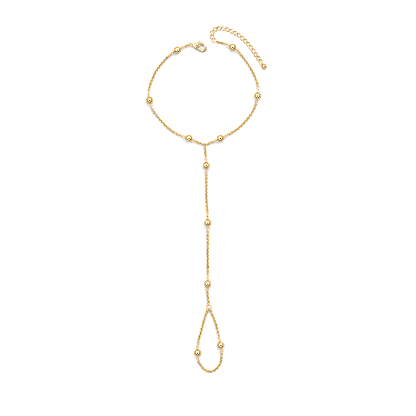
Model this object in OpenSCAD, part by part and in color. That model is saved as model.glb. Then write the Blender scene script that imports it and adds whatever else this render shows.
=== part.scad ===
// Hand chain bracelet, lying flat and unfastened on a surface at z = 0.
// A wrist chain with station beads ends in a lobster clasp on its left side and in an
// extender on its right. From its centre ring a beaded chain runs over the back of the
// hand, towards -Y, to a ring that carries the loop for a finger.

/* [Cable chain] */
// Outer length of a cable link
link_length = 1.92; // [1.88:0.02:2.02]
// Outer width of a cable link
link_width = 1.6; // [1.4:0.05:1.8]
// Wire of a cable link
link_wire = 0.34; // [0.28:0.02:0.36]
// Play between the wires of two links that hang in each other
link_play = 0.2; // [0.16:0.01:0.24]
// Links at the wrist lean over by up to this many degrees between two beads
wrist_sway = 40; // [0:5:45]
// Links on the back of the hand lean over by up to this many degrees
hand_sway = 30; // [0:5:45]

/* [Links between the beads] */
// Left side, from the centre ring over beads 3, 2 and 1 to the clasp
left_links = [6, 26, 28, 5]; // [3:1:40]
// Right side, from the centre ring over beads 4, 5 and 6 to the extender
right_links = [6, 27, 26, 7]; // [3:1:40]
// Back of the hand, from the centre ring over beads 7, 8 and 9 to the finger ring
hand_links = [8, 26, 28, 9]; // [3:1:40]
// Finger loop, from the finger ring over beads 10 and 11 back to it
finger_links = [22, 26, 18]; // [3:1:40]

/* [Beads] */
// Diameter of a station bead
bead_d = 4; // [3.5:0.1:4.4]
// Diameter of the ball that ends the extender
end_ball_d = 3.1; // [2.6:0.1:3.5]
// Wire of the eyelets soldered to the balls
eyelet_wire = 0.28; // [0.22:0.02:0.32]
// Outer diameter of a station bead's eyelet
eyelet_d = 1.3; // [1.2:0.05:1.5]
// Outer diameter of the end ball's eyelet
end_eyelet_d = 1.6; // [1.5:0.05:1.8]
// Gap between a ball and the link beside it
ball_gap = 0.15; // [0.14:0.01:0.17]

/* [Rings] */
// Outer diameter of the ring where the three chains meet
centre_ring_d = 2.3; // [2.2:0.1:2.8]
// Wire of the centre ring
centre_ring_wire = 0.4; // [0.3:0.02:0.42]
// Outer diameter of the ring that carries the finger loop
finger_ring_d = 3.25; // [3:0.05:4]
// Wire of the finger ring
finger_ring_wire = 0.44; // [0.36:0.02:0.46]

/* [Extender] */
// Number of curb links
curb_links = 18; // [12:1:24]
// Outer length of a curb link
curb_length = 3.5; // [3.3:0.05:3.8]
// Outer width of a curb link
curb_width = 2.5; // [2.3:0.05:2.8]
// Wire of a curb link
curb_wire = 0.4; // [0.34:0.02:0.44]
// Play between the wires of two curb links
curb_play = 0.29; // [0.25:0.01:0.35]

/* [Clasp] */
// Outer diameter of the eye at the tail
eye_d = 2.5; // [2.3:0.1:2.8]
// Wire of the eye
eye_wire = 0.44; // [0.36:0.02:0.46]
// Direction of the clasp on the surface, in degrees
clasp_heading = -12; // [-30:1:10]
// Thickness of the body at its bulge
body_thick = 2.1; // [1.9:0.05:2.4]
// Wire of the fixed hook
hook_wire = 1.25; // [1.1:0.05:1.3]
// Middle radius of the fixed hook
hook_r = 1.6; // [1.55:0.05:1.75]
// Wire of the lever's gate
gate_wire = 1.3; // [1.1:0.05:1.35]
// Thickness of the lever's plate
lever_thick = 0.9; // [0.7:0.05:1]
// Reach of the gate from the rivet
gate_reach = 4.75; // [4.6:0.05:4.8]
// Diameter of the rivet
rivet_d = 0.7; // [0.5:0.05:0.8]
// Running gap round the lever
lever_gap = 0.1; // [0.08:0.01:0.14]
// Gap round the rivet
rivet_gap = 0.04; // [0.03:0.01:0.06]
// Opening angle of the lever
lever_swing = 14; // [8:1:15]

/* [Hidden] */
$fn = 48;

// Colours of the polished finish
gold = "#d9a441";
pale_gold = "#e6bd63";

// Where the centre ring lies
centre_at = [-1.2, 30.3];
// The routes on the surface, as points chosen by eye: three from the centre ring, and the
// loop from the finger ring and back. Each is scaled to the length of the chain laid on it.
left_route = [[0, 0], [-4, 1.5], [-9, 4], [-15, 6], [-21, 10], [-26.5, 16], [-29.5, 20.5],
  [-31, 25], [-31.5, 29.5], [-30.5, 34], [-27.5, 41], [-23.5, 46.5], [-19.5, 50.5], [-16, 53],
  [-12, 55], [-7.5, 56.5]];
right_route = [[0, 0], [4, 1.5], [8.5, 3.5], [13, 5.8], [18, 8.7], [22.2, 12.6], [26, 17.3],
  [28.3, 22], [29.3, 26], [30, 30], [29.6, 33.5], [28.5, 37], [26, 42.3], [22.6, 47.4],
  [19, 52], [16.7, 54], [14.2, 55.4], [11.4, 56.4], [8.4, 57.3], [6, 58], [4.4, 59.6],
  [4, 61.6], [4.8, 63.5], [7, 65], [10.5, 65.1], [13, 64.4], [18.3, 61.9], [22.7, 58.1],
  [26.5, 53.6], [29.8, 48.7], [33.2, 43.7]];
hand_route = [[0, 0], [0.5, -5], [0.9, -11], [0.9, -19], [1, -28], [1.4, -36], [1.8, -44],
  [1.75, -60], [1.75, -70], [1.85, -78], [1.5, -82.5], [2, -87], [2.4, -91]];
finger_route = [[0, 0], [-1.5, -3.5], [-3, -8.5], [-4.5, -14], [-6, -20], [-6.5, -26], [-5.9, -30],
  [-4.2, -33], [-1.8, -35.4], [1.5, -36], [4.3, -34.4], [6.3, -31.5], [7, -28], [7, -23.5],
  [6.4, -19.5], [5, -14], [3.9, -9.8], [2.3, -5.2], [0, 0]];
// Samples between two points of a route
route_steps = 8;
// The plain forms of the loop's two ends start this far from the finger ring
loop_start = 0.6;
// A plain form has a ring of points at least every this many of its widths
tube_step = 2.5;
// A bead lies this far in from its route, as a share of the way to its chord
bead_pull = 0.75;
// Links over which a chain comes down from a bead to the surface
lift_links = 4;
// Curb links over which the extender climbs to the end ball
rise_links = 1.5;

// Distance from one link's centre to the next
link_pitch = link_length - 2 * link_wire - link_play;
curb_pitch = curb_length - 2 * curb_wire - curb_play;
// From a bead's centre to the centre of the link hung in its eyelet
bead_reach = bead_d / 2 + ball_gap + link_length / 2;
// From the last cable link to the first curb link, and from the last curb link to the end ball
curb_join = (link_length + curb_length) / 2 - link_wire - curb_wire - link_play;
end_reach = end_ball_d / 2 + ball_gap + curb_length / 2;
// Rise of a curb link's wire out of its middle plane, which turns its end bars to 45 degrees
curb_rise = (curb_width - curb_wire) / 4;

// Heights above the surface: an upright link, a curb link, a bead and the clasp all lie on it
chain_z = link_width / 2;
curb_z = curb_rise + curb_wire / 2;
bead_z = bead_d / 2;
clasp_z = body_thick / 2;
// A chain is level with a bead's centre up to the first length, and down again at the second
lift_near = bead_reach - link_pitch / 2;
lift_far = bead_reach + lift_links * link_pitch;

// Clasp, in its own plane: x from the eye to the hook, y towards the thumb nub
pivot = [3, -0.7];
hook_at = [6.8, -0.8];
hook_tip = 50;
hook_root = -109;
// The hook's wire starts this many degrees inside the arm that carries it
root_overlap = 8;
// The arm ends at the hook with this share of the hook's wire
arm_taper = 0.94;
gate_at = [5.8, -0.7];
gate_r = 2.3;
gate_from = 30;
gate_to = 114;
// Room past the gate's tip when the lever is open, in degrees
tip_room = 5;
// The body's swell as balls: x, y, and the radius as a share of half the thickness
neck_ball = [1.1, -0.05, 0.5];
top_ball = [2.9, 0.35, 1];
back_ball = [3.45, 1.15, 0.72];
heel_ball = [3.1, -1.2, 0.9];
// The rivet ends flush with the swell, at this share of the thickness
rivet_share = 0.94;
lever_boss_r = 0.75;
nub_r = 0.25;
// The lever's plate, from the rivet: its back edge, nub, gate root and front edge
back_edge = [[-0.6, 0.4], [0.95, 2.6]];
nub_top = [[1, 3.4], [1.5, 3.4]];
front_edge = [[1.8, 2.75], [2.5, 2.6], [2.25, 1.4], [1.9, 0.8], [1.8, 0.2], [1.1, -0.35],
  [0.7, -0.4]];
// The slot's open end and its floor, from the rivet, clear of the open lever
slot_end = [[3.5, 3.5], [3.5, 0], [2.3, -0.2], [1.85, -0.38], [1, -0.73], [0.4, -0.7]];
// The notch in the cheeks that bares the lever, from the rivet
cheek_notch = [[0.55, -0.62], [0.72, 0.2], [1.2, 2.3], [1.7, 3.5], [4, 3.5], [3.5, 0.3],
  [1.9, -0.25]];

// A point between q and r on the smooth curve through p, q, r and s
function curve_point(p, q, r, s, t) =
  (2 * q + (r - p) * t + (2 * p - 5 * q + 4 * r - s) * t * t
    + (3 * q - p - 3 * r + s) * t * t * t) / 2;

function curve(points) = [
  for (i = [0 : len(points) - 2], k = [0 : route_steps - 1])
    curve_point(points[max(i - 1, 0)], points[i], points[i + 1],
      points[min(i + 2, len(points) - 1)], k / route_steps),
  points[len(points) - 1]];

function sum(values, n) = n <= 0 ? 0 : values[n - 1] + sum(values, n - 1);

// Tables of x and y against the length run, for a route from a start scaled to a length
function path(route, start, length) =
  let (points = curve(route),
    steps = [for (i = [1 : len(points) - 1]) norm(points[i] - points[i - 1])],
    runs = [for (i = 0, run = 0; i < len(points); run = run + (i < len(steps) ? steps[i] : 0),
      i = i + 1) run],
    scale = length / runs[len(runs) - 1])
  [for (axis = [0, 1])
    [for (i = [0 : len(points) - 1]) [runs[i] * scale, start[axis] + points[i][axis] * scale]]];

function on_path(path, run) = [lookup(run, path[0]), lookup(run, path[1])];

// Distance from a ring's centre to the centre of the link hung in it
function ring_reach(ring_d, ring_wire) =
  ring_d / 2 - ring_wire - ball_gap - link_wire + link_length / 2;

// Length run to bead n of a chain that starts at a ring, and to the first link before bead n
function bead_run(first, links, n) =
  first + (sum(links, n + 1) - n - 1) * link_pitch + (2 * n + 1) * bead_reach;
function link_run(first, links, n) = n == 0 ? first : bead_run(first, links, n - 1) + bead_reach;
// Length run to the last link
function last_run(first, links) =
  link_run(first, links, len(links) - 1) + (links[len(links) - 1] - 1) * link_pitch;

// Parts of a table of heights against the length run: up to a bead, and down from it
function rise_to(bead) = [[bead - lift_far, chain_z], [bead - lift_near, bead_z]];
function drop_from(bead) = [[bead + lift_near, bead_z], [bead + lift_far, chain_z]];
function heights(beads, end) = concat([[0, chain_z]],
  [for (bead = beads) each concat(rise_to(bead), drop_from(bead))], end);

centre_reach = ring_reach(centre_ring_d, centre_ring_wire);
finger_reach = ring_reach(finger_ring_d, finger_ring_wire);
eye_reach = ring_reach(eye_d, eye_wire);

left_end = last_run(centre_reach, left_links) + eye_reach;
left_beads = [for (n = [0 : 2]) bead_run(centre_reach, left_links, n)];
left_path = path(left_route, centre_at, left_end);
left_heights = concat(heights([left_beads[0], left_beads[1]], rise_to(left_beads[2])),
  [[left_beads[2] + lift_near, bead_z], [left_end - eye_reach, clasp_z], [left_end, clasp_z]]);

curb_start = last_run(centre_reach, right_links) + curb_join;
curb_end = curb_start + (curb_links - 1) * curb_pitch;
right_end = curb_end + end_reach;
right_beads = [for (n = [0 : 2]) bead_run(centre_reach, right_links, n)];
right_path = path(right_route, centre_at, right_end);
right_heights = heights(right_beads,
  [[curb_start, curb_z], [curb_end - rise_links * curb_pitch, curb_z], [right_end, end_ball_d / 2]]);

hand_end = last_run(centre_reach, hand_links) + finger_reach;
hand_beads = [for (n = [0 : 2]) bead_run(centre_reach, hand_links, n)];
hand_path = path(hand_route, centre_at, hand_end);
hand_heights = heights(hand_beads, [[hand_end, chain_z]]);

finger_at = on_path(hand_path, hand_end);
finger_end = last_run(finger_reach, finger_links) + finger_reach;
finger_beads = [for (n = [0 : 1]) bead_run(finger_reach, finger_links, n)];
finger_path = path(finger_route, finger_at, finger_end);
finger_heights = heights(finger_beads, [[finger_end, chain_z]]);

// Half of the length over which a link's direction is taken
chord = link_pitch / 2;

// Puts a piece that points along x on a path, rolled about its own length. Its direction is
// taken over the reach each way, and its centre may be pulled in towards that chord.
module on_route(path, heights, run, roll = 0, reach = chord, pull = 0) {
  from = on_path(path, run - reach);
  to = on_path(path, run + reach);
  rise = lookup(run + reach, heights) - lookup(run - reach, heights);
  slope = atan2(rise, norm(to - from));
  place = on_path(path, run) * (1 - pull) + (from + to) / 2 * pull;
  translate(concat(place, lookup(run, heights)))
    rotate([roll, -slope, atan2(to.y - from.y, to.x - from.x)])
      children();
}

module ring(outer_d, wire) {
  rotate_extrude() translate([(outer_d - wire) / 2, 0]) circle(d = wire);
}

// A cable link, lying in the xy plane with its length along x
module cable_link() {
  bend = (link_width - link_wire) / 2;
  straight = link_length - link_width;
  for (side = [0, 180]) rotate(side) {
    translate([straight / 2, 0, 0]) rotate(-90)
      rotate_extrude(angle = 180) translate([bend, 0]) circle(d = link_wire);
    translate([0, bend, 0]) rotate([0, 90, 0])
      cylinder(d = link_wire, h = straight, center = true);
  }
}

// Smallest turn, in degrees, that brings one direction to another, where a half turn is none
function half_turn(from, to) = (to - from) - 180 * round((to - from) / 180);

// A stretch of links, each a quarter turn from the last, twisted to suit what it hangs in
module cable(path, heights, run, count, sway, roll_start, roll_end) {
  last = count - 1;
  twist = half_turn(roll_start + 90 * last, roll_end);
  lean = sway * cos(twist);
  for (i = [0 : last])
    on_route(path, heights, run + i * link_pitch,
      roll_start + 90 * i + twist * i / last + lean * sin(180 * i / last))
      cable_link();
}

// All stretches of a chain: it is upright in the rings, and flat in the beads' eyelets
module beaded_cable(path, heights, first, links, sway, roll_end = 90) {
  last = len(links) - 1;
  for (n = [0 : last])
    cable(path, heights, link_run(first, links, n), links[n], sway, n == 0 ? 90 : 0,
      n == last ? roll_end : 0);
}

// An upright eyelet on the +x side of a ball, just open for a bar of wire between the two
module eyelet(ball_d, outer_d, bar) {
  tip = ball_d / 2 + bar + 2 * ball_gap + eyelet_wire;
  translate([tip - outer_d / 2, 0, 0]) rotate([90, 0, 0]) ring(outer_d, eyelet_wire);
}

// A ball with its seam turned away from the eyelets
module ball(d) {
  rotate([90, 0, 90]) sphere(d = d);
}

module bead(path, heights, run) {
  color(pale_gold) on_route(path, heights, run, reach = bead_reach, pull = bead_pull) {
    ball(bead_d);
    for (side = [0, 180]) rotate(side) eyelet(bead_d, eyelet_d, link_wire);
  }
}

// Points of a round wire about the centre c, across the direction along
function wire_ring(c, along, wire, sides) =
  let (u = cross(along, [0, 0, 1]) / norm(cross(along, [0, 0, 1])),
    v = cross(u, along) / norm(cross(u, along)))
  [for (k = [0 : sides - 1])
    c + wire / 2 * (u * cos(360 * k / sides) + v * sin(360 * k / sides))];

// Triangles between ring i and ring j of a swept wire
function wire_faces(i, j, sides) = [
  for (k = [0 : sides - 1])
    let (next = (k + 1) % sides)
    each [[i * sides + k, i * sides + next, j * sides + next],
      [i * sides + k, j * sides + next, j * sides + k]]];

// A curb link, lying along x: an oval twisted so that its two ends lean opposite ways
module curb_link(turns = 16, sides = 6) {
  a = (curb_length - curb_wire) / 2;
  b = (curb_width - curb_wire) / 2;
  points = [
    for (i = [0 : turns - 1])
      let (t = 360 * i / turns)
      each wire_ring([a * cos(t), b * sin(t), curb_rise * sin(2 * t)],
        [-a * sin(t), b * cos(t), 2 * curb_rise * cos(2 * t)], curb_wire, sides)];
  polyhedron(points, [for (i = [0 : turns - 1]) each wire_faces(i, (i + 1) % turns, sides)]);
}

// A plain round form for the finest chain, between two lengths run on a path
module chain_tube(path, heights, from, to, sides = 8) {
  rings = ceil((to - from) / (tube_step * link_width));
  runs = [for (i = [0 : rings]) from + (to - from) * i / rings];
  points = [
    for (run = runs)
      let (ahead = on_path(path, run + chord) - on_path(path, run - chord))
      each wire_ring(concat(on_path(path, run), lookup(run, heights)), concat(ahead, 0),
        link_width, sides)];
  polyhedron(points, concat(
    [[for (k = [sides - 1 : -1 : 0]) k]],
    [for (i = [0 : rings - 1]) each wire_faces(i, i + 1, sides)],
    [[for (k = [0 : sides - 1]) rings * sides + k]]));
}

module wrist_chain_left() {
  color(gold) beaded_cable(left_path, left_heights, centre_reach, left_links, wrist_sway);
}

module wrist_chain_right() {
  color(gold) beaded_cable(right_path, right_heights, centre_reach, right_links, wrist_sway, 45);
}

module hand_chain() {
  color(gold) beaded_cable(hand_path, hand_heights, centre_reach, hand_links, hand_sway);
}

// The finger loop, in three stretches that end just short of the eyelets and the ring
module finger_chain() {
  eyelet_tip = bead_d / 2 + link_wire + 2 * ball_gap + eyelet_wire + ball_gap;
  ring_edge = finger_ring_d / 2 + loop_start;
  starts = [ring_edge, finger_beads[0] + eyelet_tip, finger_beads[1] + eyelet_tip];
  ends = [finger_beads[0] - eyelet_tip, finger_beads[1] - eyelet_tip, finger_end - ring_edge];
  color(gold) for (i = [0 : 2]) chain_tube(finger_path, finger_heights, starts[i], ends[i]);
}

module extender_chain() {
  color(gold) for (i = [0 : curb_links - 1])
    on_route(right_path, right_heights, curb_start + i * curb_pitch) curb_link();
}

module end_ball() {
  color(pale_gold) on_route(right_path, right_heights, right_end) {
    ball(end_ball_d);
    rotate(180) eyelet(end_ball_d, end_eyelet_d, curb_wire);
  }
}

module centre_ring() {
  color(gold) translate(concat(centre_at, chain_z)) ring(centre_ring_d, centre_ring_wire);
}

module finger_ring() {
  color(gold) translate(concat(finger_at, chain_z)) ring(finger_ring_d, finger_ring_wire);
}

// Puts a piece of the clasp, drawn about the eye's centre, at the end of the left chain
module at_clasp() {
  translate(concat(on_path(left_path, left_end), clasp_z)) rotate(clasp_heading) children();
}

// Part of a ring of wire between two angles
module wire_arc(radius, wire, from, to) {
  rotate(from) rotate_extrude(angle = to - from) translate([radius, 0]) circle(d = wire);
}

// A ball of the body, from a row of its swell
module swell(row) {
  translate([row.x, row.y, 0]) sphere(r = row[2] * body_thick / 2, $fn = 28);
}

// Room for the lever between the cheeks, from the rivet
module lever_slot() {
  edge = back_edge[1] - back_edge[0];
  side = lever_gap * [-edge.y, edge.x] / norm(edge);
  linear_extrude(lever_thick + 2 * lever_gap, center = true) {
    circle(r = lever_boss_r + lever_gap);
    polygon(concat([back_edge[0] + side, back_edge[1] + side + edge / 2], slot_end));
  }
}

// Room for the gate's tip inside the hook, from the rivet, over the lever's whole swing
module tip_sweep() {
  tip = gate_at + gate_r * [cos(gate_from), sin(gate_from)] - pivot;
  rotate(atan2(tip.y, tip.x) - lever_swing - tip_room)
    rotate_extrude(angle = 2 * lever_swing + tip_room)
      translate([gate_reach - 2 * hook_wire, -hook_wire])
        square([2 * hook_wire + lever_gap, 2 * hook_wire]);
}

module clasp_body() {
  color(pale_gold) at_clasp() difference() {
    union() {
      ring(eye_d, eye_wire);
      hull() {
        swell(neck_ball);
        swell(top_ball);
        swell(back_ball);
        swell(heel_ball);
      }
      hull() {
        swell(heel_ball);
        translate(concat(hook_at + hook_r * [cos(hook_root), sin(hook_root)], 0))
          sphere(d = arm_taper * hook_wire, $fn = 28);
      }
      translate(concat(hook_at, 0)) wire_arc(hook_r, hook_wire, hook_root - root_overlap, hook_tip);
    }
    translate(concat(pivot, 0)) {
      lever_slot();
      linear_extrude(2 * body_thick, center = true) polygon(cheek_notch);
      cylinder(d = rivet_d + 2 * rivet_gap, h = 2 * body_thick, center = true);
      tip_sweep();
    }
  }
}

module clasp_lever() {
  color(gold) at_clasp() difference() {
    union() {
      translate(concat(pivot, 0)) linear_extrude(lever_thick, center = true) {
        circle(r = lever_boss_r);
        polygon(concat(back_edge, nub_top, front_edge));
        translate((nub_top[0] + nub_top[1]) / 2) circle(r = nub_r);
      }
      intersection() {
        translate(concat(gate_at, 0)) wire_arc(gate_r, gate_wire, gate_from, gate_to);
        translate(concat(pivot, 0)) cylinder(r = gate_reach, h = 2 * gate_wire, center = true);
      }
    }
    translate(concat(pivot, 0))
      cylinder(d = rivet_d + 2 * rivet_gap, h = 2 * lever_thick, center = true);
  }
}

module clasp_rivet() {
  color(gold) at_clasp() translate(concat(pivot, 0))
    cylinder(d = rivet_d, h = rivet_share * body_thick, center = true);
}

module station_bead_1() bead(left_path, left_heights, left_beads[2]);
module station_bead_2() bead(left_path, left_heights, left_beads[1]);
module station_bead_3() bead(left_path, left_heights, left_beads[0]);
module station_bead_4() bead(right_path, right_heights, right_beads[0]);
module station_bead_5() bead(right_path, right_heights, right_beads[1]);
module station_bead_6() bead(right_path, right_heights, right_beads[2]);
module station_bead_7() bead(hand_path, hand_heights, hand_beads[0]);
module station_bead_8() bead(hand_path, hand_heights, hand_beads[1]);
module station_bead_9() bead(hand_path, hand_heights, hand_beads[2]);
module station_bead_10() bead(finger_path, finger_heights, finger_beads[0]);
module station_bead_11() bead(finger_path, finger_heights, finger_beads[1]);

wrist_chain_left();
wrist_chain_right();
hand_chain();
finger_chain();
extender_chain();
station_bead_1();
station_bead_2();
station_bead_3();
station_bead_4();
station_bead_5();
station_bead_6();
station_bead_7();
station_bead_8();
station_bead_9();
station_bead_10();
station_bead_11();
end_ball();
centre_ring();
finger_ring();
clasp_body();
clasp_lever();
clasp_rivet();
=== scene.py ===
"""Hand chain bracelet in polished yellow gold, lying flat and unfastened on a white table."""
import math

import bmesh
import bpy
from mathutils import Matrix, Vector


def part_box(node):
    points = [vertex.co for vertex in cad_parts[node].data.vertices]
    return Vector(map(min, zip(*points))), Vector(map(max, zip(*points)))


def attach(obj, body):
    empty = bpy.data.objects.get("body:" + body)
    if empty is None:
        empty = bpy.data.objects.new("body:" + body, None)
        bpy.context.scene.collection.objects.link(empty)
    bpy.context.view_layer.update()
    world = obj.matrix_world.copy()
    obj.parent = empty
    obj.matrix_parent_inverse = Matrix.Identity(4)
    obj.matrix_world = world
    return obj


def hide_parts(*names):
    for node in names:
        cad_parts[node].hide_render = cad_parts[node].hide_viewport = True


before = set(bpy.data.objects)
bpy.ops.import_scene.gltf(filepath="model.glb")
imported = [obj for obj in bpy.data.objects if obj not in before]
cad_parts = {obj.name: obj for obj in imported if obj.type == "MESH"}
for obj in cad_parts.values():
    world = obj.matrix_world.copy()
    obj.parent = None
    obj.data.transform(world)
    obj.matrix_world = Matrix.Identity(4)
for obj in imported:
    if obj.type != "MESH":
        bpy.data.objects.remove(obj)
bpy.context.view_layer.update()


# Wrist chain, left half. A fine cable chain of oval links, bent from gold wire and soldered
# shut, each a quarter turn from the last, from the centre ring through three station beads to
# the clasp. The links are a little heavier than the solid model's, which keep clear of each other.
mm = 0.001
body = "bracelet"
link_length = 1.92 * mm
link_width = 1.6 * mm
link_wire = 0.34 * mm
link_play = 0.2 * mm
link_pitch = link_length - 2 * link_wire - link_play
drawn_wire = 0.42 * mm
link_turns = 14
wire_sides = 6
tone_step = 0.618
wrist_sway = math.radians(40)
left_links = (6, 26, 28, 5)
left_route = [Vector(point) * mm for point in (
    (0, 0), (-4, 1.5), (-9, 4), (-15, 6), (-21, 10), (-26.5, 16), (-29.5, 20.5), (-31, 25),
    (-31.5, 29.5), (-30.5, 34), (-27.5, 41), (-23.5, 46.5), (-19.5, 50.5), (-16, 53),
    (-12, 55), (-7.5, 56.5))]

bead_d = 4 * mm
ball_gap = 0.15 * mm
bead_reach = bead_d / 2 + ball_gap + link_length / 2
lift_links = 4
chain_z = link_width / 2
bead_z = bead_d / 2
lift_near = bead_reach - link_pitch / 2
lift_far = bead_reach + lift_links * link_pitch
half_link = link_pitch / 2

centre_at = Vector((-1.2, 30.3)) * mm
centre_ring_d = 2.3 * mm
centre_ring_wire = 0.4 * mm
eye_d = 2.5 * mm
eye_wire = 0.44 * mm
clasp_tall = 2.1 * mm
clasp_z = clasp_tall / 2


def smooth_route(points, steps=8):
    """Points along the smooth curve through a given route."""
    curve = []
    for i in range(len(points) - 1):
        p = points[max(i - 1, 0)]
        q, r = points[i], points[i + 1]
        s = points[min(i + 2, len(points) - 1)]
        for k in range(steps):
            t = k / steps
            curve.append((2 * q + (r - p) * t + (2 * p - 5 * q + 4 * r - s) * t ** 2
                          + (3 * q - p - 3 * r + s) * t ** 3) / 2)
    return curve + [points[-1]]


def table_at(table, run):
    """The value of a table of (run, value) rows at a length run, straight between rows."""
    if run <= table[0][0]:
        return table[0][1]
    for (run_a, a), (run_b, b) in zip(table, table[1:]):
        if run <= run_b:
            return a + (b - a) * (run - run_a) / (run_b - run_a)
    return table[-1][1]


def laid_route(route, start, length):
    """A route laid from a start and scaled to the real length of its chain, as a table."""
    points = smooth_route(route)
    runs = [0]
    for a, b in zip(points, points[1:]):
        runs.append(runs[-1] + (b - a).length)
    scale = length / runs[-1]
    return [(run * scale, start + point * scale) for run, point in zip(runs, points)]


def ring_reach(ring_d, ring_wire):
    """From a ring's centre to the centre of the link hung in it."""
    return ring_d / 2 - ring_wire - ball_gap - link_wire + link_length / 2


def bead_runs(first, links):
    """Length run to each bead of a chain whose first link lies at first."""
    return [first + (sum(links[:n + 1]) - n - 1) * link_pitch + (2 * n + 1) * bead_reach
            for n in range(len(links) - 1)]


def stretch_starts(first, links):
    """Length run to the first link of each stretch."""
    return [first] + [run + bead_reach for run in bead_runs(first, links)]


def last_run(first, links):
    """Length run to the last link of a chain."""
    return stretch_starts(first, links)[-1] + (links[-1] - 1) * link_pitch


def chain_heights(beads, end):
    """Heights of a chain on the table, lifted where it hangs in the eyelets of its beads."""
    table = [(0, chain_z)]
    for run in beads:
        table += [(run - lift_far, chain_z), (run - lift_near, bead_z),
                  (run + lift_near, bead_z), (run + lift_far, chain_z)]
    return table + end


def route_place(route, heights, run, roll=0.0, reach=half_link, pull=0.0):
    """The place and direction on a route of a piece that points along x."""
    back, ahead = table_at(route, run - reach), table_at(route, run + reach)
    rise = table_at(heights, run + reach) - table_at(heights, run - reach)
    along = ahead - back
    flat = table_at(route, run) * (1 - pull) + (back + ahead) / 2 * pull
    place = Matrix.Translation((*flat, table_at(heights, run)))
    turn = Matrix.Rotation(math.atan2(along.y, along.x), 4, "Z")
    slope = Matrix.Rotation(-math.atan2(rise, along.length), 4, "Y")
    return place @ turn @ slope @ Matrix.Rotation(roll, 4, "X")


def wire_ring(radius, wire, turns, sides):
    """A closed ring of round wire in the xy plane, its middle at that radius."""
    form = bmesh.new()
    upright = Matrix.Translation((radius, 0, 0)) @ Matrix.Rotation(math.pi / 2, 4, "X")
    start = bmesh.ops.create_circle(form, segments=sides, radius=wire / 2, matrix=upright)
    bmesh.ops.spin(form, geom=start["verts"] + form.edges[:], cent=(0, 0, 0), axis=(0, 0, 1),
                   angle=math.tau, steps=turns, use_merge=True)
    bmesh.ops.remove_doubles(form, verts=form.verts, dist=wire / 100)
    bmesh.ops.recalc_face_normals(form, faces=form.faces)
    return form


def form_mesh(form, name):
    """A smooth-shaded mesh of a finished form."""
    mesh = bpy.data.meshes.new(name)
    for face in form.faces:
        face.smooth = True
    form.to_mesh(mesh)
    form.free()
    return mesh


def cable_link_mesh():
    """An oval link lying in the xy plane, its length along x."""
    bend = (link_width - link_wire) / 2
    form = wire_ring(bend, drawn_wire, link_turns, wire_sides)
    first_ring = Matrix.Rotation(math.pi / link_turns, 3, "Z")
    bmesh.ops.rotate(form, verts=form.verts, cent=(0, 0, 0), matrix=first_ring)
    for side in (-1, 1):
        end = [vert for vert in form.verts if vert.co.x * side > 0]
        bmesh.ops.translate(form, verts=end, vec=(side * (link_length - link_width) / 2, 0, 0))
    return form_mesh(form, "cable_link")


def strung(name, link, places):
    """One piece of many links, each with a tone of its own for its finish."""
    form = bmesh.new()
    tone = form.verts.layers.float.new("tone")
    for i, place in enumerate(places):
        copy = link.copy()
        copy.transform(place)
        before = len(form.verts)
        form.from_mesh(copy)
        bpy.data.meshes.remove(copy)
        form.verts.ensure_lookup_table()
        for vert in form.verts[before:]:
            vert[tone] = i * tone_step % 1
    return form_mesh(form, name)


def placed(name, data):
    """A new object in the scene."""
    obj = bpy.data.objects.new(name, data)
    bpy.context.collection.objects.link(obj)
    return obj


def piece(name, mesh, finish, slot, *nodes, on=body):
    """Puts a finished mesh on its body, in place of the plain solids that it stands for."""
    obj = placed(name, mesh)
    mesh.materials.append(finish)
    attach(obj, on)
    if nodes:
        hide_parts(*nodes)
    return obj


def stretch_rolls(count, sway, roll_start, roll_end):
    """The roll of each link of a stretch: a quarter turn each, twisted to suit both ends."""
    last = count - 1
    off = roll_start + math.pi / 2 * last - roll_end
    twist = round(off / math.pi) * math.pi - off
    lean = sway * math.cos(twist)
    return [roll_start + math.pi / 2 * i + twist * i / last + lean * math.sin(math.pi * i / last)
            for i in range(count)]


def cable_places(route, heights, first, links, sway, roll_end=math.pi / 2):
    """The places of all links of a chain: upright in its rings, and flat in its beads' eyelets."""
    places = []
    for n, (start, count) in enumerate(zip(stretch_starts(first, links), links)):
        rolls = stretch_rolls(count, sway, math.pi / 2 if n == 0 else 0,
                              roll_end if n == len(links) - 1 else 0)
        places += [route_place(route, heights, start + i * link_pitch, roll)
                   for i, roll in enumerate(rolls)]
    return places


def new_group(name, inputs, outputs):
    """An empty node group with named sockets, its inputs as (name, kind, value)."""
    group = bpy.data.node_groups.new(name, "ShaderNodeTree")
    for label, kind, value in inputs:
        socket = group.interface.new_socket(label, in_out="INPUT", socket_type=kind)
        socket.default_value = value
    for label, kind in outputs:
        group.interface.new_socket(label, in_out="OUTPUT", socket_type=kind)
    return group


def add_node(tree, kind, **values):
    """A new node, with its settings and the values of its named sockets."""
    node = tree.nodes.new("ShaderNode" + kind)
    for label, value in values.items():
        if hasattr(node, label):
            setattr(node, label, value)
        else:
            node.inputs[label.replace("_", " ")].default_value = value
    return node


mix_a, mix_b, mix_out = 6, 7, 2  # the colour sockets of a Mix node
tone_share = 0.35


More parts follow.
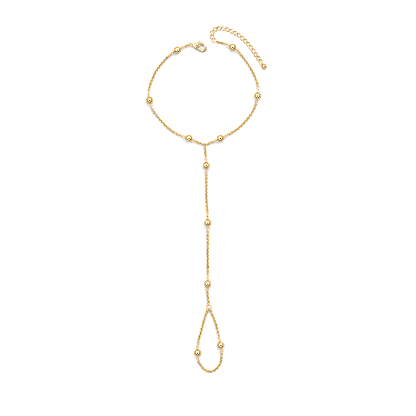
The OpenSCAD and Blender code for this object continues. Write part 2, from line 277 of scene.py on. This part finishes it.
def gold_surface_group():
    """Polished gold: cloudy colour, a haze that comes and goes, and fine polishing lines."""
    group = new_group(
        "Polished gold surface",
        [("Gold", "NodeSocketColor", (0.8, 0.5, 0.2, 1)),
         ("Deep gold", "NodeSocketColor", (0.6, 0.3, 0.1, 1)),
         ("Cloud scale", "NodeSocketFloat", 900.0),
         ("Tone", "NodeSocketFloat", 0.5),
         ("Least roughness", "NodeSocketFloat", 0.08),
         ("Most roughness", "NodeSocketFloat", 0.2)],
        [("Color", "NodeSocketColor"), ("Roughness", "NodeSocketFloat"),
         ("Height", "NodeSocketFloat")])
    link = group.links.new
    given = group.nodes.new("NodeGroupInput")
    result = group.nodes.new("NodeGroupOutput")
    place = add_node(group, "TexCoord")

    cloud = add_node(group, "TexNoise", Detail=3.0, Roughness=0.55)
    link(place.outputs["Object"], cloud.inputs["Vector"])
    link(given.outputs["Cloud scale"], cloud.inputs["Scale"])
    toned = add_node(group, "Math", operation="MULTIPLY_ADD")
    toned.inputs[1].default_value = tone_share
    link(given.outputs["Tone"], toned.inputs[0])
    link(cloud.outputs["Fac"], toned.inputs[2])
    share = add_node(group, "MapRange", interpolation_type="SMOOTHSTEP",
                     From_Min=0.42, From_Max=0.95)
    link(toned.outputs[0], share.inputs["Value"])
    colour = add_node(group, "Mix", data_type="RGBA")
    link(share.outputs["Result"], colour.inputs["Factor"])
    link(given.outputs["Gold"], colour.inputs[mix_a])
    link(given.outputs["Deep gold"], colour.inputs[mix_b])
    link(colour.outputs[mix_out], result.inputs["Color"])

    turned = add_node(group, "Mapping")
    turned.inputs["Rotation"].default_value = (0.3, 0.5, 0.9)
    turned.inputs["Scale"].default_value = (1.0, 9.0, 2.0)
    link(place.outputs["Object"], turned.inputs["Vector"])
    lines = add_node(group, "TexNoise", Scale=2600.0, Detail=4.0, Roughness=0.7)
    link(turned.outputs["Vector"], lines.inputs["Vector"])
    haze = add_node(group, "TexNoise", Scale=1700.0, Detail=2.0)
    link(place.outputs["Object"], haze.inputs["Vector"])
    both = add_node(group, "Math", operation="MULTIPLY")
    link(lines.outputs["Fac"], both.inputs[0])
    link(haze.outputs["Fac"], both.inputs[1])
    rough = add_node(group, "MapRange", From_Min=0.12, From_Max=0.42)
    link(both.outputs[0], rough.inputs["Value"])
    link(given.outputs["Least roughness"], rough.inputs["To Min"])
    link(given.outputs["Most roughness"], rough.inputs["To Max"])
    link(rough.outputs["Result"], result.inputs["Roughness"])
    link(lines.outputs["Fac"], result.inputs["Height"])
    return group


gold_surface = gold_surface_group()


def gold_finish(name, gold, deep, cloud_scale, roughness, relief, by_link=False):
    """A polished gold of its own shade, cloudiness and polish."""
    finish = bpy.data.materials.new(name)
    finish.use_nodes = True
    tree = finish.node_tree
    shader = tree.nodes["Principled BSDF"]
    shader.inputs["Metallic"].default_value = 1.0
    shader.inputs["Specular Tint"].default_value = (*deep, 1)
    surface = tree.nodes.new("ShaderNodeGroup")
    surface.node_tree = gold_surface
    surface.inputs["Gold"].default_value = (*gold, 1)
    surface.inputs["Deep gold"].default_value = (*deep, 1)
    surface.inputs["Cloud scale"].default_value = cloud_scale
    surface.inputs["Least roughness"].default_value = roughness[0]
    surface.inputs["Most roughness"].default_value = roughness[1]
    if by_link:
        tone = add_node(tree, "Attribute", attribute_name="tone")
        tree.links.new(tone.outputs["Fac"], surface.inputs["Tone"])
    bump = add_node(tree, "Bump", Strength=0.35)
    bump.inputs["Distance"].default_value = relief
    tree.links.new(surface.outputs["Color"], shader.inputs["Base Color"])
    tree.links.new(surface.outputs["Roughness"], shader.inputs["Roughness"])
    tree.links.new(surface.outputs["Height"], bump.inputs["Height"])
    tree.links.new(bump.outputs["Normal"], shader.inputs["Normal"])
    return finish


chain_gold = gold_finish("Chain gold", (0.71, 0.475, 0.145), (0.6, 0.38, 0.09), 700.0,
                         (0.4, 0.52), 0.001 * mm, by_link=True)
cable_link = cable_link_mesh()
centre_reach = ring_reach(centre_ring_d, centre_ring_wire)
eye_reach = ring_reach(eye_d, eye_wire)
left_end = last_run(centre_reach, left_links) + eye_reach
left_beads = bead_runs(centre_reach, left_links)
left_path = laid_route(left_route, centre_at, left_end)
left_heights = chain_heights(left_beads, [])[:-1] + [
    (left_end - eye_reach, clasp_z), (left_end, clasp_z)]
piece("left_wrist_links",
      strung("left_wrist_links", cable_link,
             cable_places(left_path, left_heights, centre_reach, left_links, wrist_sway)),
      chain_gold, "chain_gold", "wrist_chain_left")


# Wrist chain, right half. The same cable chain from the centre ring through three more beads
# to the first link of the extender, where its last link leans to suit the curb link.
right_links = (6, 27, 26, 7)
curb_links = 18
curb_length = 3.5 * mm
curb_width = 2.5 * mm
curb_wire = 0.4 * mm
curb_play = 0.29 * mm
curb_pitch = curb_length - 2 * curb_wire - curb_play
curb_join = (link_length + curb_length) / 2 - link_wire - curb_wire - link_play
curb_rise = (curb_width - curb_wire) / 4
curb_z = curb_rise + curb_wire / 2
rise_links = 1.5
end_ball_d = 3.1 * mm
end_reach = end_ball_d / 2 + ball_gap + curb_length / 2
right_route = [Vector(point) * mm for point in (
    (0, 0), (4, 1.5), (8.5, 3.5), (13, 5.8), (18, 8.7), (22.2, 12.6), (26, 17.3), (28.3, 22),
    (29.3, 26), (30, 30), (29.6, 33.5), (28.5, 37), (26, 42.3), (22.6, 47.4), (19, 52),
    (16.7, 54), (14.2, 55.4), (11.4, 56.4), (8.4, 57.3), (6, 58), (4.4, 59.6), (4, 61.6),
    (4.8, 63.5), (7, 65), (10.5, 65.1), (13, 64.4), (18.3, 61.9), (22.7, 58.1), (26.5, 53.6),
    (29.8, 48.7), (33.2, 43.7))]
curb_start = last_run(centre_reach, right_links) + curb_join
curb_end = curb_start + (curb_links - 1) * curb_pitch
right_end = curb_end + end_reach
right_beads = bead_runs(centre_reach, right_links)
right_path = laid_route(right_route, centre_at, right_end)
right_heights = chain_heights(right_beads, [
    (curb_start, curb_z), (curb_end - rise_links * curb_pitch, curb_z),
    (right_end, end_ball_d / 2)])
piece("right_wrist_links",
      strung("right_wrist_links", cable_link,
             cable_places(right_path, right_heights, centre_reach, right_links, wrist_sway,
                          math.pi / 4)),
      chain_gold, "chain_gold", "wrist_chain_right")


# Hand chain. The same cable chain again, over the back of the hand: from the centre ring
# through three beads to the ring that carries the finger loop.
hand_sway = math.radians(30)
hand_links = (8, 26, 28, 9)
finger_ring_d = 3.25 * mm
finger_ring_wire = 0.44 * mm
hand_route = [Vector(point) * mm for point in (
    (0, 0), (0.5, -5), (0.9, -11), (0.9, -19), (1, -28), (1.4, -36), (1.8, -44),
    (1.75, -60), (1.75, -70), (1.85, -78), (1.5, -82.5), (2, -87), (2.4, -91))]
finger_reach = ring_reach(finger_ring_d, finger_ring_wire)
hand_end = last_run(centre_reach, hand_links) + finger_reach
hand_beads = bead_runs(centre_reach, hand_links)
hand_path = laid_route(hand_route, centre_at, hand_end)
hand_heights = chain_heights(hand_beads, [(hand_end, chain_z)])
piece("hand_links",
      strung("hand_links", cable_link,
             cable_places(hand_path, hand_heights, centre_reach, hand_links, hand_sway)),
      chain_gold, "chain_gold", "hand_chain")


# Finger loop. The same cable chain once more: out from the finger ring, through two beads and
# back to the ring. Its links stand for three plain round forms of the solid model.
finger_sway = math.radians(25)
finger_links = (22, 26, 18)
finger_route = [Vector(point) * mm for point in (
    (0, 0), (-1.5, -3.5), (-3, -8.5), (-4.5, -14), (-6, -20), (-6.5, -26), (-5.9, -30),
    (-4.2, -33), (-1.8, -35.4), (1.5, -36), (4.3, -34.4), (6.3, -31.5), (7, -28), (7, -23.5),
    (6.4, -19.5), (5, -14), (3.9, -9.8), (2.3, -5.2), (0, 0))]
finger_at = table_at(hand_path, hand_end)
finger_end = last_run(finger_reach, finger_links) + finger_reach
finger_beads = bead_runs(finger_reach, finger_links)
finger_path = laid_route(finger_route, finger_at, finger_end)
finger_heights = chain_heights(finger_beads, [(finger_end, chain_z)])
piece("finger_loop_links",
      strung("finger_loop_links", cable_link,
             cable_places(finger_path, finger_heights, finger_reach, finger_links, finger_sway)),
      chain_gold, "chain_gold", "finger_chain")


# Station beads. Gold balls, polished to a mirror, with a small eyelet of round wire soldered
# upright to each end for the flat link beside it. The eyelets too are drawn a little heavier.
eyelet_wire = 0.28 * mm
drawn_eyelet_wire = 0.36 * mm
eyelet_d = 1.3 * mm
ball_turns = 40
eyelet_turns = 18
eyelet_sides = 8
bead_pull = 0.75
ball_gold = gold_finish("Ball gold", (0.78, 0.55, 0.27), (0.58, 0.36, 0.11), 420.0,
                        (0.04, 0.08), 0.0003 * mm)


def ball_with_eyelets(name, ball_size, eyelet_size, bar, sides):
    """A ball with an eyelet on each given side of it, just open for a bar of wire."""
    form = bmesh.new()
    bmesh.ops.create_uvsphere(form, u_segments=ball_turns, v_segments=ball_turns // 2,
                              radius=ball_size / 2)
    tip = ball_size / 2 + bar + 2 * ball_gap + eyelet_wire
    upright = Matrix.Rotation(math.pi / 2, 4, "X")
    for side in sides:
        ring = wire_ring((eyelet_size - eyelet_wire) / 2, drawn_eyelet_wire, eyelet_turns,
                         eyelet_sides)
        outward = Matrix.Translation((side * (tip - eyelet_size / 2), 0, 0))
        bmesh.ops.transform(ring, verts=ring.verts, matrix=outward @ upright)
        mesh = form_mesh(ring, "eyelet")
        form.from_mesh(mesh)
        bpy.data.meshes.remove(mesh)
    return form_mesh(form, name)


beads_on_routes = (
    [(left_path, left_heights, run) for run in reversed(left_beads)]
    + [(right_path, right_heights, run) for run in right_beads]
    + [(hand_path, hand_heights, run) for run in hand_beads]
    + [(finger_path, finger_heights, run) for run in finger_beads])
for i, (path, heights, run) in enumerate(beads_on_routes, 1):
    mesh = ball_with_eyelets(f"bead_{i}", bead_d, eyelet_d, link_wire, (-1, 1))
    mesh.transform(route_place(path, heights, run, reach=bead_reach, pull=bead_pull))
    piece(f"polished_bead_{i}", mesh, ball_gold, "ball_gold", f"station_bead_{i}")


# Rings. Two closed rings of heavier wire, lying flat, where the chains meet: the centre ring
# at the wrist, and the larger one that carries the finger loop.
drawn_ring_extra = 0.08 * mm
ring_turns = 32
ring_sides = 10
for name, node, ring_d, wire, place in (
        ("centre_ring_wire", "centre_ring", centre_ring_d, centre_ring_wire, centre_at),
        ("finger_ring_wire", "finger_ring", finger_ring_d, finger_ring_wire, finger_at)):
    mesh = form_mesh(wire_ring((ring_d - wire) / 2, wire + drawn_ring_extra, ring_turns,
                               ring_sides), name)
    mesh.transform(Matrix.Translation((*place, chain_z)))
    piece(name, mesh, chain_gold, "chain_gold", node)


# Extender. Eighteen larger curb links, each an oval twisted so that its two ends lean opposite
# ways and the row lies nearly flat. Its wire too is drawn a little heavier than the solids'.
drawn_curb_wire = 0.48 * mm
curb_turns = 24
curb_sides = 8
curb_gold = gold_finish("Curb gold", (0.82, 0.57, 0.21), (0.7, 0.46, 0.13), 600.0,
                        (0.22, 0.34), 0.0008 * mm, by_link=True)


def curb_link_mesh():
    """A twisted oval link lying along x."""
    a = (curb_length - curb_wire) / 2
    b = (curb_width - curb_wire) / 2
    form = wire_ring(b, drawn_curb_wire, curb_turns, curb_sides)
    for vert in form.verts:
        t = math.atan2(vert.co.y, vert.co.x)
        vert.co += Vector(((a - b) * math.cos(t), 0, curb_rise * math.sin(2 * t)))
    return form_mesh(form, "curb_link")


curb_link = curb_link_mesh()
piece("extender_links",
      strung("extender_links", curb_link,
             [route_place(right_path, right_heights, curb_start + i * curb_pitch)
              for i in range(curb_links)]),
      curb_gold, "chain_gold", "extender_chain")


# End ball. A smaller polished ball that ends the extender, made as the station beads are, with
# one eyelet soldered to it for the last curb link.
end_eyelet_d = 1.6 * mm
mesh = ball_with_eyelets("end_ball", end_ball_d, end_eyelet_d, curb_wire, (-1,))
mesh.transform(route_place(right_path, right_heights, right_end))
piece("polished_end_ball", mesh, ball_gold, "ball_gold", "end_ball")


# Lobster clasp. The body is one casting: an eye, two cheeks and the fixed hook. The lever is
# stamped with its gate and thumb nub, and turns on a rivet headed over flush with the cheeks.
# The eye's wire is drawn a little heavier than the solid's.
cast_gold = gold_finish("Cast gold", (0.65, 0.47, 0.22), (0.5, 0.34, 0.13), 380.0,
                        (0.12, 0.24), 0.0006 * mm)
lever_gold = gold_finish("Lever gold", (0.58, 0.41, 0.18), (0.43, 0.29, 0.1), 420.0,
                         (0.42, 0.52), 0.0004 * mm)
casting_grain = 0.07 * mm
lever_grain = 0.05 * mm
casting_passes = 9
lever_passes = 14
weld = 0.001 * mm
drawn_eye_wire = 0.56 * mm
eye_turns = 32
eye_sides = 12
rivet_d = 0.7 * mm
rivet_sides = 24
rivet_rim = 0.1 * mm
rivet_rim_steps = 3


def polished_copy(node, grain, passes, added=None):
    """A copy of a solid whose edges are rounded over as by tumbling and a polishing wheel."""
    form = bmesh.new()
    form.from_mesh(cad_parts[node].data)
    if added:
        form.from_mesh(added)
    bmesh.ops.remove_doubles(form, verts=form.verts, dist=weld)
    bmesh.ops.recalc_face_normals(form, faces=form.faces)
    obj = placed(node + "_raw", form_mesh(form, node))
    remesh = obj.modifiers.new("Grain", "REMESH")
    remesh.mode = "VOXEL"
    remesh.voxel_size = grain
    tumbled = obj.modifiers.new("Tumbled", "SMOOTH")
    tumbled.factor = 0.5
    tumbled.iterations = passes
    graph = bpy.context.evaluated_depsgraph_get()
    finished = bpy.data.meshes.new_from_object(obj.evaluated_get(graph))
    bpy.data.objects.remove(obj)
    for face in finished.polygons:
        face.use_smooth = True
    return finished


heavy_eye = form_mesh(wire_ring((eye_d - eye_wire) / 2, drawn_eye_wire, eye_turns, eye_sides),
                      "eye")
heavy_eye.transform(Matrix.Translation((*table_at(left_path, left_end), clasp_z)))
piece("clasp_casting", polished_copy("clasp_body", casting_grain, casting_passes, heavy_eye),
      cast_gold, "clasp_gold", "clasp_body")
piece("clasp_gate_lever", polished_copy("clasp_lever", lever_grain, lever_passes),
      lever_gold, "clasp_gold", "clasp_lever", on="clasp_lever")

rivet_low, rivet_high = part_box("clasp_rivet")
rivet = bmesh.new()
rivet_middle = (Vector(rivet_low) + Vector(rivet_high)) / 2
rivet_tall = rivet_high[2] - rivet_low[2]
bmesh.ops.create_cone(rivet, segments=rivet_sides, radius1=rivet_d / 2, radius2=rivet_d / 2,
                      depth=rivet_tall, cap_ends=True, matrix=Matrix.Translation(rivet_middle))
rims = [edge for edge in rivet.edges
        if all(abs(abs(v.co.z - rivet_middle.z) - rivet_tall / 2) < weld for v in edge.verts)]
bmesh.ops.bevel(rivet, geom=rims, offset=rivet_rim, segments=rivet_rim_steps, profile=0.5,
                affect="EDGES", material=-1)
piece("clasp_rivet_pin", form_mesh(rivet, "clasp_rivet_pin"), lever_gold, "clasp_gold",
      "clasp_rivet")


# Table. A sheet of smooth white card with a faint fibre in its tone. It isn't part of the
# bracelet, and only takes its shadow.
table_half = 3.0
card = bmesh.new()
bmesh.ops.create_grid(card, x_segments=4, y_segments=4, size=table_half)
card_mesh = bpy.data.meshes.new("table")
card.to_mesh(card_mesh)
card.free()
table = placed("table", card_mesh)
white_card = bpy.data.materials.new("White card")
white_card.use_nodes = True
card_shader = white_card.node_tree.nodes["Principled BSDF"]
card_shader.inputs["Roughness"].default_value = 0.85
card_place = add_node(white_card.node_tree, "TexCoord")
card_fibre = add_node(white_card.node_tree, "TexNoise", Scale=60.0, Detail=3.0)
card_tone = add_node(white_card.node_tree, "MapRange", To_Min=0.69, To_Max=0.71)
white_card.node_tree.links.new(card_place.outputs["Object"], card_fibre.inputs["Vector"])
white_card.node_tree.links.new(card_fibre.outputs["Fac"], card_tone.inputs["Value"])
white_card.node_tree.links.new(card_tone.outputs["Result"], card_shader.inputs["Base Color"])
card_mesh.materials.append(white_card)


# Light. The bracelet lies under a white tent, open at the top for the camera and dim towards
# the floor, darkest in its two near corners. One soft box stands at the far right.
key_box = bpy.data.lights.new("soft_box_far", "AREA")
key_box.shape = "RECTANGLE"
key_box.size, key_box.size_y = 0.55, 0.45
key_box.energy = 5.0
key_box.color = (1, 0.94, 0.85)
key_light = placed("soft_box_far", key_box)
key_light.location = (0.4, 0.58, 0.9)
key_light.rotation_euler = key_light.location.to_track_quat("Z", "Y").to_euler()

room = bpy.data.worlds.new("Studio")
bpy.context.scene.world = room
room.use_nodes = True
room_tree = room.node_tree


def joined(source, socket):
    """Gives a socket of the room its source: another socket, or a fixed value."""
    if isinstance(source, bpy.types.NodeSocket):
        room_tree.links.new(source, socket)
    else:
        socket.default_value = source


def room_node(kind, *sources, **values):
    """A node of the room, with its first inputs joined to the sources given."""
    node = add_node(room_tree, kind, **values)
    for socket, source in zip(node.inputs, sources):
        joined(source, socket)
    return node


def toward(direction, near, far):
    """A soft-edged patch of the room round a direction, between two angles from it."""
    aim = Vector(direction).normalized()
    dot = room_node("VectorMath", look, tuple(aim), operation="DOT_PRODUCT")
    edge = room_node("MapRange", dot.outputs["Value"], interpolation_type="SMOOTHSTEP",
                     From_Min=math.cos(math.radians(far)), From_Max=math.cos(math.radians(near)))
    return edge.outputs["Result"]


def laid_over(under, patch, over):
    """The light of the room with a patch of another light laid over it."""
    node = room_node("Mix", patch, data_type="RGBA")
    joined(under, node.inputs[mix_a])
    joined(over, node.inputs[mix_b])
    return node.outputs[mix_out]


look = room_node("TexCoord").outputs["Generated"]
tent = toward((0, 0.2, 1), 54, 66)
bright_wall = toward((-0.06, 0.08, 1), 36, 59)
opening = toward((0.05, -0.11, 1), 24, 33)
near_side = room_node("Math", toward((0.75, -0.7, 0.16), 22, 36),
                      toward((-0.6, -0.78, 0.1), 18, 32), operation="MAXIMUM").outputs[0]
cloth = laid_over((1.5, 1.65, 1.9, 1), bright_wall, (3.75, 4.1, 4.6, 1))
walls = laid_over((0.58, 0.47, 0.33, 1), tent, cloth)
dark_side = laid_over(walls, near_side, (0.08, 0.05, 0.02, 1))
open_top = laid_over(dark_side, opening, (0.06, 0.05, 0.04, 1))
dim = room_tree.nodes["Background"]
room_tree.links.new(open_top, dim.inputs["Color"])
seen = room_node("Background", (0.9, 0.9, 0.9, 1))
ray = room_node("LightPath")
either = room_node("MixShader", ray.outputs["Is Camera Ray"], dim.outputs["Background"],
                   seen.outputs["Background"])
room_tree.links.new(either.outputs["Shader"], room_tree.nodes["World Output"].inputs["Surface"])
bpy.context.scene.view_settings.view_transform = "Standard"
bpy.context.scene.cycles.filter_width = 1.0
bpy.context.scene.cycles.use_denoising = False


# Camera. It looks straight down with a long lens, from so high that the view is as wide as
# the photograph's.
lens = bpy.data.cameras.new("camera")
lens.lens = 150
lens.sensor_width = 36
view_width = 0.234
view_middle = Vector((0.71, -5.14, 0)) * mm
camera = placed("camera", lens)
camera.location = view_middle + Vector((0, 0, view_width * lens.lens / lens.sensor_width))
bpy.context.scene.camera = camera
